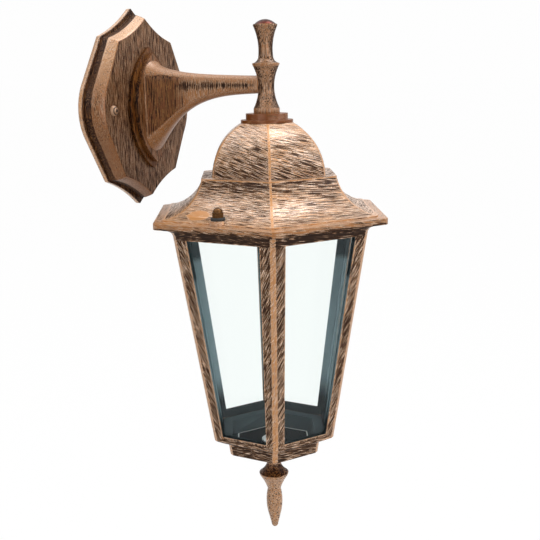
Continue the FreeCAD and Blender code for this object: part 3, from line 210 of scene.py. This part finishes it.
def roof_marks(tree):
    """Roof: marks run across the faces, steeper on the dome. Ridges, lips and fascia are rubbed bare."""
    at = hexagon_place(tree)
    level, out = at["level"], at["out"]
    ridge = steps(tree, at["corner"], [(level, COLLAR_FOOT - 0.1, COLLAR_FOOT + 0.2, NO_EDGE)])
    slant = steps(tree, SKIRT_SLANT, [(level, LEDGE_EDGE - 0.1, LEDGE_EDGE, DOME_MORE)])
    unturned = face_marks(tree, at, 0.0)
    from_missed = add(tree, "VectorMath", {0: unturned, 1: MISSED_MIDDLE}, operation="SUBTRACT")
    missed_share = add(tree, "VectorMath", {0: from_missed, 1: MISSED_HALF}, operation="DIVIDE")
    missed = add(tree, "VectorMath", {0: missed_share}, operation="LENGTH").outputs["Value"]
    lean = steps(tree, 0.01, [
        # bare ridges, and drier beside them
        (ridge, 1.2, 0.6, -0.3), (ridge, 9.0, 2.0, -0.04),
        # fuller towards one end of each face
        (at["along"], -20.0, 20.0, 0.04),
        # bare edge of the ledge
        (level, LEDGE_EDGE - 0.7, LEDGE_EDGE - 0.5, -0.3), (level, LEDGE_EDGE, LEDGE_EDGE + 0.2, 0.3),
        # glaze gathered under the ledge and at the dome's foot, and a drier top
        (level, -56.0, -46.0, 0.15), (level, LEDGE_EDGE - 1.1, LEDGE_EDGE - 0.8, -0.15),
        (level, -20.0, -43.0, 0.07), (level, LEDGE_EDGE + 0.2, LEDGE_EDGE, -0.07),
        (level, -26.0, -12.0, -0.05),
        # bare lip, thin glaze on the eave, and more under the fascia
        (out, SKIRT_LIP - 0.1, SKIRT_LIP + 0.1, -0.3), (out, SKIRT_LIP + 0.9, SKIRT_LIP + 1.1, 0.15),
        (level, -72.2, -73.6, 0.25),
        # plain collar
        (level, COLLAR_FOOT, COLLAR_FOOT + 0.3, -0.25),
        # the missed patch
        (missed, 1.0, 0.75, -0.4),
    ])
    wash_and_shade = steps(tree, 0.0, [
        (out, SKIRT_LIP + 1.2, SKIRT_LIP + 1.6, 0.35), (level, -70.0, -70.6, 0.15),
        (level, COLLAR_FOOT, COLLAR_FOOT + 0.5, 0.95),
    ])
    finer = add(tree, "VectorMath", {0: face_marks(tree, at, slant), 1: ROOF_FINER}, operation="MULTIPLY")
    return finer, lean, wash_and_shade


def roof_inside(tree):
    """The underside of the roof: surfaces that look down or in towards the axis."""
    up = add(tree, "SeparateXYZ", {0: add(tree, "NewGeometry").outputs["True Normal"]}).outputs["Z"]
    level = add(tree, "SeparateXYZ", {0: place_from_axis(tree)}).outputs["Z"]
    down = add(tree, "MapRange", {"Value": up, "From Min": -0.15, "From Max": -0.3})
    above_fascia = add(tree, "MapRange", {"Value": level, "From Min": -74.1, "From Max": -73.9})
    return add(tree, "Math", {0: down, 1: above_fascia}, operation="MULTIPLY"), 0.4, 0.0


CAGE_FINER = (1.5, 1.2, 1.0)
LEVEL_SLANT, POST_TURN = math.radians(4), math.radians(60)


def cage_marks(tree):
    """Cage: slanting marks on the posts, level ones on frieze and rail. Post ridges and edges are bare."""
    at = hexagon_place(tree)
    level, corner = at["level"], at["corner"]
    over_window = add(tree, "Math", {0: level, 1: -FRIEZE_FOOT}, operation="ADD")
    under_window = add(tree, "Math", {0: WINDOW_FOOT, 1: level}, operation="SUBTRACT")
    width = add(tree, "Math", {0: over_window, 1: POST_TAPER, 2: POST_WIDTH}, operation="MULTIPLY_ADD")
    beside_window = add(tree, "Math", {0: width, 1: corner}, operation="SUBTRACT")
    ends = add(tree, "Math", {0: over_window, 1: under_window}, operation="MAXIMUM")
    window_edge = add(tree, "Math", {0: beside_window, 1: ends}, operation="MAXIMUM")
    slant = steps(tree, LEVEL_SLANT, [
        (level, FRIEZE_FOOT, FRIEZE_FOOT - 0.1, -POST_TURN), (level, POST_FOOT, POST_FOOT - 0.1, POST_TURN)])
    mirrored = steps(tree, 1.0, [(at["wallward"], -0.1, 0.1, -2.0)])
    angle = add(tree, "Math", {0: slant, 1: mirrored}, operation="MULTIPLY")
    lean = steps(tree, 0.13, [
        (corner, 2.5, 1.7, -0.37),
        (window_edge, 0.9, 0.2, -0.22),
        # more on the frieze and at the foot
        (level, FRIEZE_FOOT - 0.3, FRIEZE_FOOT + 0.3, 0.12), (level, -228.0, -230.0, 0.05),
    ])
    wash_and_shade = steps(tree, 0.1, [(level, FRIEZE_FOOT - 0.7, FRIEZE_FOOT + 0.8, 0.05)])
    finer = add(tree, "VectorMath", {0: face_marks(tree, at, angle), 1: CAGE_FINER}, operation="MULTIPLY")
    return finer, lean, wash_and_shade


def cage_inside(tree):
    """Inside of the cage, behind its outer faces: grey primer, darkened by painted shade under the roof and
    at the foot.
    """
    at = hexagon_place(tree)
    level = at["level"]
    outer_face = add(tree, "Math", {0: level, 1: CAGE_SLOPE, 2: CAGE_HEAD_WIDTH - CAGE_HEAD * CAGE_SLOPE},
                     operation="MULTIPLY_ADD")
    depth = add(tree, "Math", {0: outer_face, 1: at["out"]}, operation="SUBTRACT")
    inward = steps(tree, depth, [(level, -228.2, -228.6, -4.0)])
    behind = add(tree, "MapRange", {"Value": inward, "From Min": 0.6, "From Max": 0.9})
    above = add(tree, "MapRange", {"Value": level, "From Min": DISH_RIM - 0.2, "From Max": DISH_RIM})
    # painted shade: dark under the roof and at the foot, pale between
    tone = steps(tree, 0.1, [(level, -218.0, -195.0, 0.9), (level, -113.0, -107.0, -0.75)])
    return add(tree, "Math", {0: behind, 1: above}, operation="MULTIPLY"), tone, 0.0


def dish_inside(tree):
    """Inside of the floor dish: primer, with a painted highlight on the edge of the raised middle."""
    at = hexagon_place(tree)
    level, out = at["level"], at["out"]
    core = add(tree, "MapRange", {"Value": out, "From Min": 30.2, "From Max": 30.0})
    rim = add(tree, "MapRange", {"Value": level, "From Min": DISH_RIM, "From Max": DISH_RIM + 0.2})
    floor = add(tree, "MapRange", {"Value": level, "From Min": DISH_FLOOR, "From Max": DISH_FLOOR + 0.2})
    well = add(tree, "Math", {0: core, 1: floor}, operation="MULTIPLY")
    tone = steps(tree, 0.02, [(out, 25.4, 25.8, 0.24)])
    # painted highlight along the edge of the raised middle
    edge = steps(tree, 0.0, [(out, 24.5, 24.8, 1.0), (out, 25.5, 25.7, -1.0)])
    return add(tree, "Math", {0: rim, 1: well}, operation="MAXIMUM"), tone, edge


PLATE_FINER = (1.3, 1.3, 1.3)
# Depths over which the rim runs into the cove, the cove into the bevel and the bevel into the face
COVE_STARTS, COVE_ENDS, FACE_STARTS = (2.2, 4.2), (8.2, 9.2), (15.7, 15.95)


def plate_marks(tree):
    """Wall plate: upright marks, darkest in the cove, where the glaze is deepened by painted shade, and on
    the face; worn on the bevel and rim, and paler on the upper bevel as a painted highlight.
    """
    place = add(tree, "SeparateXYZ", {0: place_from_axis(tree)}).outputs
    upright = add(tree, "CombineXYZ", {0: place["Z"], 1: place["X"], 2: place["Y"]})
    depth = add(tree, "Math", {0: REACH, 1: place["Y"]}, operation="SUBTRACT")
    marks = add(tree, "VectorMath", {0: upright, 1: PLATE_FINER}, operation="MULTIPLY")
    lean = steps(tree, -0.12, [
        # glaze gathered in the cove, deepened by painted shade in its hollow
        (depth, *COVE_STARTS, 0.27), (depth, *COVE_ENDS, -0.26),
        (depth, 15.2, 15.5, -0.15), (depth, *FACE_STARTS, 0.33),
    ])
    # painted highlight: the upper part of the bevel is kept paler, as if lit from above
    upper = add(tree, "MapRange", {"Value": place["Z"], "From Min": 0.0, "From Max": 50.0})
    bevel_highlight_share = steps(tree, upper, [(depth, *COVE_ENDS, 1.0), (depth, 15.4, 15.5, -1.0)])
    wash_and_shade = steps(tree, 0.0, [
        # browned most in the cove, partly as painted shade; less on the upper bevel, a painted highlight
        (depth, *COVE_STARTS, 0.95), (depth, *COVE_ENDS, -0.15), (depth, *FACE_STARTS, -0.05),
        (bevel_highlight_share, 1.0, 2.0, -0.8),
    ])
    return marks, lean, wash_and_shade


def plate_inside(tree):
    """The hollow back of the plate, which looks at the wall."""
    back = add(tree, "SeparateXYZ", {0: add(tree, "NewGeometry").outputs["True Normal"]}).outputs["Y"]
    return add(tree, "MapRange", {"Value": back, "From Min": 0.2, "From Max": 0.4}), 0.5, 0.0


STEM_SHADE_ACROSS = (0.476, -0.88, 0.0)  # the stem is darkened towards its two sides along this level way, across the line of sight: painted shade


def arm_marks(tree):
    """Arm: a browned, streaked panel on the horn's sides that thins to a ragged line, bare rolls above and
    below it, and a stem that is speckled. The panel is picked out by facing sideways, so its browning is
    partly painted shade, and the stem is darker towards its sides as seen, a painted shade."""
    position = place_from_axis(tree)
    place = add(tree, "SeparateXYZ", {0: position}).outputs
    flat = add(tree, "VectorMath", {0: position, 1: (1.0, 1.0, 0.0)}, operation="MULTIPLY")
    radius = add(tree, "VectorMath", {0: flat}, operation="LENGTH").outputs["Value"]
    normal = add(tree, "SeparateXYZ", {0: add(tree, "NewGeometry").outputs["Normal"]}).outputs
    sideways = add(tree, "Math", {0: normal["X"]}, operation="ABSOLUTE")
    # side panel picked out by sideways-facing normals: glaze marks, and painted shade
    panel = steps(tree, -1.0, [(sideways, 0.8, 0.95, 1.0), (radius, 52.0, 82.0, 1.0)])
    over_line = add(tree, "Math", {0: place["Z"], 1: ARM_LEVEL}, operation="SUBTRACT")
    off_line = add(tree, "Math", {0: over_line}, operation="ABSOLUTE")
    line_half = add(tree, "MapRange", {
        "Value": radius, "From Min": 10.0, "From Max": 62.0, "To Min": 1.8, "To Max": 5.5})
    near = add(tree, "MapRange", {"Value": off_line, "From Min": line_half, "From Max": 0.0})
    streak = steps(tree, near, [
        (radius, 64.0, 72.0, -1.0), (radius, STEM_RADIUS + 0.1, STEM_RADIUS - 0.1, -1.0)])
    beyond = add(tree, "MapRange", {
        "Value": radius, "From Min": STEM_RADIUS - 0.1, "From Max": STEM_RADIUS + 0.1})
    behind = add(tree, "MapRange", {"Value": place["Y"], "From Min": 4.0, "From Max": 4.6})
    beside = add(tree, "MapRange", {
        "Value": off_line, "From Min": ARM_HALF + 0.2, "From Max": ARM_HALF - 0.2})
    tip = add(tree, "Math", {0: behind, 1: beside}, operation="MULTIPLY")
    on_horn = add(tree, "Math", {0: beyond, 1: tip}, operation="MAXIMUM")
    # painted shade: darker towards the stem's sides as seen
    across = add(tree, "VectorMath", {0: flat, 1: STEM_SHADE_ACROSS}, operation="DOT_PRODUCT").outputs["Value"]
    across_share = add(tree, "Math", {0: across, 1: radius}, operation="DIVIDE")
    off_middle = add(tree, "Math", {0: across_share}, operation="ABSOLUTE")
    stem_side_shade = steps(tree, off_middle, [(on_horn, 0.0, 1.0, -1.0)])
    foot = (place["Y"], REACH - FOOT_DEPTH, REACH - FOOT_DEPTH + 1.2)
    lean = steps(tree, -0.05, [
        # painted shade towards the stem's sides, and glaze on the panel that is partly painted shade
        (stem_side_shade, 0.3, 1.0, 0.22), (on_horn, 0.0, 1.0, -0.1), (streak, 0.0, 1.0, 0.3),
        (panel, 0.0, 1.0, 0.15), (*foot, 0.16),
    ])
    wash_and_shade = steps(tree, 0.58, [(panel, 0.0, 0.8, 0.4), (*foot, 0.4)])
    marks = add(tree, "CombineXYZ", {0: place["Z"], 1: place["Y"], 2: place["X"]})
    return marks, lean, wash_and_shade


FINIAL_SPECKS = (6.0, 0.5, 0.5)  # turns the long marks into specks


def finial_marks(tree):
    """Finial: specks on bare lacquer, and glaze gathered in the bowl above the ring, darkened there also as
    painted shade.
    """
    place = place_from_axis(tree)
    level = add(tree, "SeparateXYZ", {0: place}).outputs["Z"]
    bowl_top, bowl_foot = (level, -255.0, -258.0), (level, -263.6, -264.2)
    lean = steps(tree, -0.08, [(*bowl_top, 0.17), (*bowl_foot, -0.17)])
    wash_and_shade = steps(tree, 0.35, [(*bowl_top, 0.6), (*bowl_foot, -0.6)])
    return add(tree, "VectorMath", {0: place, 1: FINIAL_SPECKS}, operation="MULTIPLY"), lean, wash_and_shade


# Finishes of the fixings and fittings. Grain is the size of their clouds in millimetres

THREAD_RELIEF, METAL_RELIEF, MOULDED_RELIEF = 0.0004, 0.00003, 0.00005  # metres
SCREW_PALE = "9C7A5E"


def plain_metal(name, base, worn, rough, grain, thread=0.0):
    """Bare or plated metal: small cloudy changes of colour and gloss.

    thread is half the pitch of a thread in millimetres, whose ridges glint."""
    finish, tree = new_finish(name)
    place = place_from_axis(tree)
    cloud = add(tree, "TexNoise", {"Vector": place, "Scale": 1 / grain, "Detail": 4.0})
    tone = add(tree, "Mix", {0: cloud, 6: colour(base), 7: colour(worn)}, data_type="RGBA")
    gloss = add(tree, "MapRange", {"Value": cloud, "To Min": rough - 0.1, "To Max": rough + 0.1})
    height, relief = cloud, METAL_RELIEF
    if thread:
        level = add(tree, "SeparateXYZ", {0: place}).outputs["Z"]
        height, relief = add(tree, "Math", {0: level, 1: thread}, operation="PINGPONG"), THREAD_RELIEF
    bump = add(tree, "Bump", {"Strength": 0.6, "Distance": relief, "Height": height})
    give_surface(tree, add(tree, "BsdfPrincipled", {
        "Base Color": tone.outputs[2], "Metallic": 1.0, "Roughness": gloss, "Normal": bump}))
    return finish


def turned_screw_heads(name):
    """Plated screw heads drawn as rings: a pale rim and ring, darker in the groove between and in the middle.
    """
    finish, tree = new_finish(name)
    corners = [corner.co * MM for corner in nodes["plate_screws"].data.vertices]
    top, bottom = max(c.z for c in corners), min(c.z for c in corners)
    half = (top - bottom) / 2
    middle = (max(c.x for c in corners) - half, 0.0, (top + bottom) / 2)
    place = add(tree, "SeparateXYZ", {0: place_from_axis(tree)}).outputs
    sideways = add(tree, "Math", {0: place["X"]}, operation="ABSOLUTE")
    flat = add(tree, "CombineXYZ", {0: sideways, 2: place["Z"]})
    radius = add(tree, "VectorMath", {0: flat, 1: middle}, operation="DISTANCE").outputs["Value"]
    pale = steps(tree, 0.0, [
        (radius, half * 0.3, half * 0.36, 1.0), (radius, half * 0.56, half * 0.6, -0.9),
        (radius, half * 0.74, half * 0.78, 0.9)])
    tone = add(tree, "Mix", {0: pale, 6: colour(GLAZE), 7: colour(SCREW_PALE)}, data_type="RGBA").outputs[2]
    give_surface(tree, add(tree, "BsdfPrincipled", {"Base Color": tone, "Metallic": 0.3, "Roughness": 0.4}))
    return finish


def moulded(name, base, worn, rough, grain, coat=0.0):
    """Moulded or glazed piece: faint mottling and a fine skin, with a glassy coat where asked."""
    finish, tree = new_finish(name)
    skin = add(tree, "TexNoise", {"Vector": place_from_axis(tree), "Scale": 1 / grain, "Detail": 3.0})
    tone = add(tree, "Mix", {0: skin, 6: colour(base), 7: colour(worn)}, data_type="RGBA")
    gloss = add(tree, "MapRange", {"Value": skin, "To Min": rough - 0.06, "To Max": rough + 0.06})
    bump = add(tree, "Bump", {"Strength": 0.2, "Distance": MOULDED_RELIEF, "Height": skin})
    give_surface(tree, add(tree, "BsdfPrincipled", {
        "Base Color": tone.outputs[2], "Roughness": gloss, "Normal": bump, "Coat Weight": coat}))
    return finish


GLASS_TINT = "FBFEFD"
GLASS_FILM = 30.0  # size of the clouds of a faint film, mm
GLASS_IOR = 1.2


def clear_float_glass():
    """Clear float glass: flat and colourless, with the faint blue-green that its thickness gives.

    Its mirror images are kept weaker than glass gives, because the white floor would veil the inside."""
    finish, tree = new_finish("clear_float_glass")
    film = add(tree, "TexNoise", {"Vector": place_from_axis(tree), "Scale": 1 / GLASS_FILM, "Detail": 2.0})
    gloss = add(tree, "MapRange", {"Value": film, "From Min": 0.4, "From Max": 0.9, "To Max": 0.03})
    give_surface(tree, add(tree, "BsdfPrincipled", {
        "Base Color": colour(GLASS_TINT), "Transmission Weight": 1.0, "Roughness": gloss, "IOR": GLASS_IOR}))
    return finish


FINISHES = {
    # satin copper under broken dark marks, grey inside
    brushed_copper("copper_lacquer_roof", roof_marks, roof_inside): ["roof"],
    brushed_copper("copper_lacquer_cage", cage_marks, cage_inside): ["cage_frame"],
    brushed_copper("copper_lacquer_dish", cage_marks, dish_inside): ["cage_dish"],
    brushed_copper("copper_lacquer_plate", plate_marks, plate_inside): ["wall_plate"],
    brushed_copper("copper_lacquer_arm", arm_marks): ["arm_bracket"],
    brushed_copper("copper_lacquer_finial", finial_marks): ["finial"],
    # a deep red glint in the cup of the stem
    plain_metal("dark_red_lacquer", "52241A", "240C08", 0.32, 2.0): ["stem_plug"],
    # cool grey with a soft gloss
    plain_metal("zinc_plated_steel", "B9BDC0", "8F9496", 0.34, 3.0): [
        "mounting_strap", "arm_bolts", "nipple_washer", "nipple_nut", "terminal_screws"],
    # a pale spot on the dark floor: zinc drawn whiter than it is, as a painted glint
    plain_metal("dull_zinc_plate", "F2F4F4", "DDE1E2", 0.5, 3.0): ["finial_washer", "finial_nut"],
    # the same grey, broken by the glints of a thread
    plain_metal("zinc_plated_thread", "B9BDC0", "8F9496", 0.34, 3.0, thread=0.5): [
        "hanger_nipple", "cage_studs", "finial_stud"],
    # a pale ring on the dark plate
    turned_screw_heads("ringed_plated_screws"): ["plate_screws"],
    # brown metal, from dull to nearly black
    plain_metal("aged_brass", "8A6A4A", "4A3422", 0.4, 1.5): ["earth_screw"],
    plain_metal("blackened_brass", "6B4A2C", "1E150E", 0.35, 1.2): ["thumb_nut_left", "thumb_nut_right"],
    # a clean yellow gleam in the holder's mouth
    plain_metal("bright_brass", "D9B36A", "B98F48", 0.2, 6.0): ["holder_shell", "holder_contact"],
    # warm white with a glassy shine
    moulded("glazed_porcelain", "EFEDE6", "E3E0D6", 0.14, 5.0, coat=0.5): ["holder_body"],
    # black with a soft gloss
    moulded("black_phenolic_moulding", "141414", "1F1E1D", 0.36, 1.0): ["holder_cap"],
    # milky white, half matt
    moulded("natural_nylon_moulding", "E6E2D3", "D6D1BF", 0.45, 1.0): ["terminal_block"],
    # matt black
    moulded("black_rubber", "121212", "1C1C1B", 0.7, 0.6): ["seal_washers"],
    # nearly unseen, with a cool tint
    clear_float_glass(): [f"glass_pane_{n}" for n in range(1, 7)],
}
for finish, names in FINISHES.items():
    for name in names:
        nodes[name].data.materials.clear()
        nodes[name].data.materials.append(finish)

# Castings and turned pieces have slightly rounded edges, which catch the light

ROUNDED = {  # radii, mm
    "wall_plate": 0.3, "arm_bracket": 0.5, "roof": 0.5, "cage_frame": 0.4, "cage_dish": 0.4, "finial": 0.4,
    "plate_screws": 0.2, "thumb_nut_left": 0.25, "thumb_nut_right": 0.25, "finial_nut": 0.3,
    "finial_washer": 0.3, "nipple_nut": 0.3, "mounting_strap": 0.3, "terminal_block": 0.5, "holder_body": 0.6,
    "holder_cap": 0.5, "seal_washers": 0.3, "stem_plug": 0.2,
}
WELD_GAP = 0.00001  # metres
LEAST_TURN = math.radians(28)  # edges that turn by less stay as they are
for name, radius in ROUNDED.items():
    weld = nodes[name].modifiers.new("joined_faces", "WELD")
    weld.merge_threshold = WELD_GAP
    edge = nodes[name].modifiers.new("rounded_edges", "BEVEL")
    edge.width = radius / MM
    edge.segments = 2
    edge.limit_method = "ANGLE"
    edge.angle_limit = LEAST_TURN
    edge.harden_normals = True

# Studio: white surroundings, a strong soft box overhead on the right, weaker ones in front and on the left


def soft_box(name, place, size, power):
    """A round area lamp aimed at the lantern's middle, in metres and watts."""
    lamp = bpy.data.lights.new(name, "AREA")
    lamp.shape = "DISK"
    lamp.size = size
    lamp.energy = power
    box = bpy.data.objects.new(name, lamp)
    bpy.context.scene.collection.objects.link(box)
    box.location = place
    box.rotation_euler = (Vector(MIDDLE) - Vector(place)).to_track_quat("-Z", "Y").to_euler()


MIDDLE = (0.0, -0.1, -0.1)
soft_box("key_box", (0.39, -0.44, 1.16), 0.8, 14.0)
soft_box("ceiling_box", (-0.15, 0.5, 1.2), 1.4, 13.0)
soft_box("front_box", (-0.73, -1.39, 0.14), 0.9, 8.0)
soft_box("front_right_box", (0.42, -1.2, 0.5), 0.6, 5.5)
soft_box("left_box", (-1.3, 0.1, 0.5), 0.8, 5.0)


def seen(tree):
    """One for what the camera sees, straight, mirrored or through the glass, else nothing."""
    ray = add(tree, "LightPath").outputs
    turns = add(tree, "Math", {0: ray["Diffuse Depth"], 1: ray["Glossy Depth"]}, operation="ADD")
    straight = add(tree, "Math", {0: turns, 1: 0.5}, operation="LESS_THAN")
    through = add(tree, "Math", {0: ray["Is Transmission Ray"], 1: straight}, operation="MULTIPLY")
    direct = add(tree, "Math", {0: ray["Is Camera Ray"], 1: through}, operation="MAXIMUM")
    return add(tree, "Math", {0: direct, 1: ray["Is Glossy Ray"]}, operation="MAXIMUM")


WHITE = (1.0, 1.0, 1.0, 1.0)
SKY_LIGHT, SKY_SEEN = 0.25, 0.99  # strength as a light, and as the background
world = bpy.data.worlds.new("white_studio")
bpy.context.scene.world = world
world.use_nodes = True
tree = world.node_tree
tree.nodes.clear()
strength = add(tree, "MapRange", {"Value": seen(tree), "To Min": SKY_LIGHT, "To Max": SKY_SEEN})
add(tree, "OutputWorld", {"Surface": add(tree, "Background", {"Color": WHITE, "Strength": strength})})

FLOOR_LEVEL, FLOOR_HALF = -0.5, 30.0  # metres
FLOOR_TINT = "F4F4F2"
FLOOR_GLOW = 0.985  # share of the floor that is plain white where it is seen: the rest takes light and shadow
floor_mesh = bpy.data.meshes.new("pale_floor")
floor_mesh.from_pydata(
    [(x * FLOOR_HALF, y * FLOOR_HALF, FLOOR_LEVEL) for x, y in ((-1, -1), (1, -1), (1, 1), (-1, 1))], [],
    [(0, 1, 2, 3)])
floor = bpy.data.objects.new("pale_floor", floor_mesh)
bpy.context.scene.collection.objects.link(floor)
pale_floor, tree = new_finish("pale_floor")
matt = add(tree, "BsdfDiffuse", {"Color": colour(FLOOR_TINT)})
glow = add(tree, "Emission", {"Color": WHITE, "Strength": 1.0})
share = add(tree, "Math", {0: seen(tree), 1: FLOOR_GLOW}, operation="MULTIPLY")
give_surface(tree, add(tree, "MixShader", {0: share, 1: matt, 2: glow}))
floor_mesh.materials.append(pale_floor)

# Camera at the photograph's viewing angle

CAMERA_PLACE = (-0.55752, -0.41474, 0.02545)
TURN, DOWN, ROLL = (math.radians(angle) for angle in (-61.58, 12.23, -1.15))
SENSOR = 36.0
FOCAL = 923.67 / 540 * SENSOR  # pixels of a 540 pixel frame to millimetres on the sensor

back = Vector((math.sin(TURN) * math.cos(DOWN), -math.cos(TURN) * math.cos(DOWN), math.sin(DOWN)))
level_right = Vector((math.cos(TURN), math.sin(TURN), 0.0))
level_up = back.cross(level_right)
right = level_right * math.cos(ROLL) + level_up * math.sin(ROLL)
up = level_up * math.cos(ROLL) - level_right * math.sin(ROLL)
camera = bpy.data.objects.new("camera", bpy.data.cameras.new("camera"))
bpy.context.scene.collection.objects.link(camera)
turn = Matrix((right, up, back)).transposed()
camera.matrix_world = Matrix.Translation(CAMERA_PLACE) @ turn.to_4x4()
camera.data.sensor_width = SENSOR
camera.data.lens = FOCAL
camera.data.clip_end = 200.0
bpy.context.scene.camera = camera
bpy.context.scene.view_settings.view_transform = "Standard"
